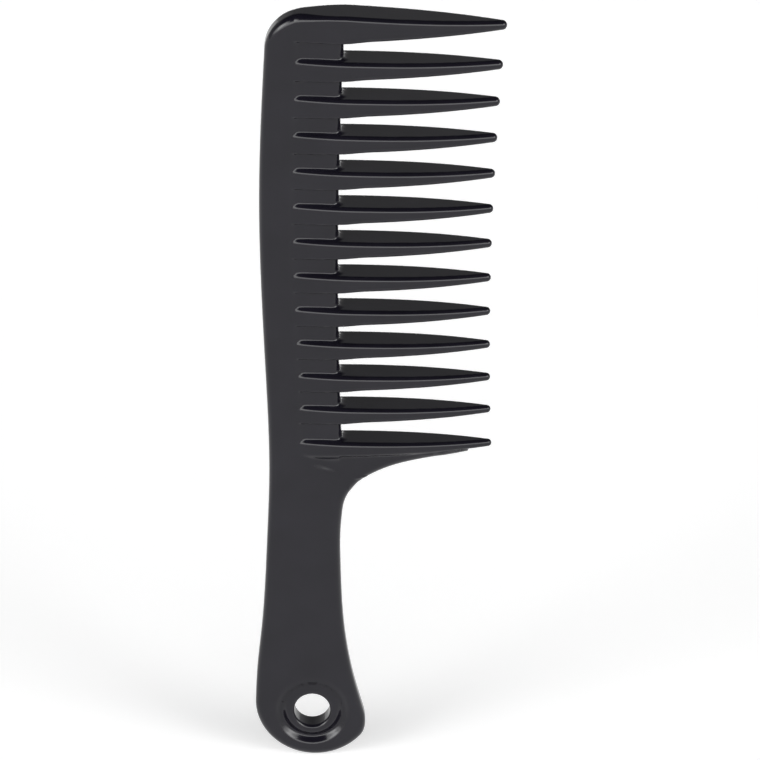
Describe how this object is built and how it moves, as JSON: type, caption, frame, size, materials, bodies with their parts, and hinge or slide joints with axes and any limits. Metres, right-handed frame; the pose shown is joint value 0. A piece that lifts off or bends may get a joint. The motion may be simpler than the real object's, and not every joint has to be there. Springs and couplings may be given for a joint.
{
  "type": "wide tooth comb",
  "caption": "One-piece rake comb with heavy tapered teeth ribbed into a thick spine, and a slim handle that flares to a round end with a collared hanging hole.",
  "frame": {"origin": "centre of the hanging hole, halfway through the comb's thickness", "axes": "+Z along the comb from the handle to the head, +X from the spine's back to the tooth tips, +Y through the thickness from the front face to the back face"},
  "size_m": [0.0748, 0.0112, 0.2471],
  "materials": {
    "black_plastic": "glossy moulded black plastic"
  },
  "bodies": {
    "root": {"spine": "black_plastic", "neck": "black_plastic", "handle": "black_plastic", "hang_ring": "black_plastic", "tooth_01": "black_plastic", "tooth_02": "black_plastic", "tooth_03": "black_plastic", "tooth_04": "black_plastic", "tooth_05": "black_plastic", "tooth_06": "black_plastic", "tooth_07": "black_plastic", "tooth_08": "black_plastic", "tooth_09": "black_plastic", "tooth_10": "black_plastic", "tooth_11": "black_plastic", "tooth_12": "black_plastic", "tooth_13": "black_plastic", "web_01": "black_plastic", "web_02": "black_plastic", "web_03": "black_plastic", "web_04": "black_plastic", "web_05": "black_plastic", "web_06": "black_plastic", "web_07": "black_plastic", "web_08": "black_plastic", "web_09": "black_plastic", "web_10": "black_plastic", "web_11": "black_plastic", "web_12": "black_plastic"}
  },
  "joints": []
}
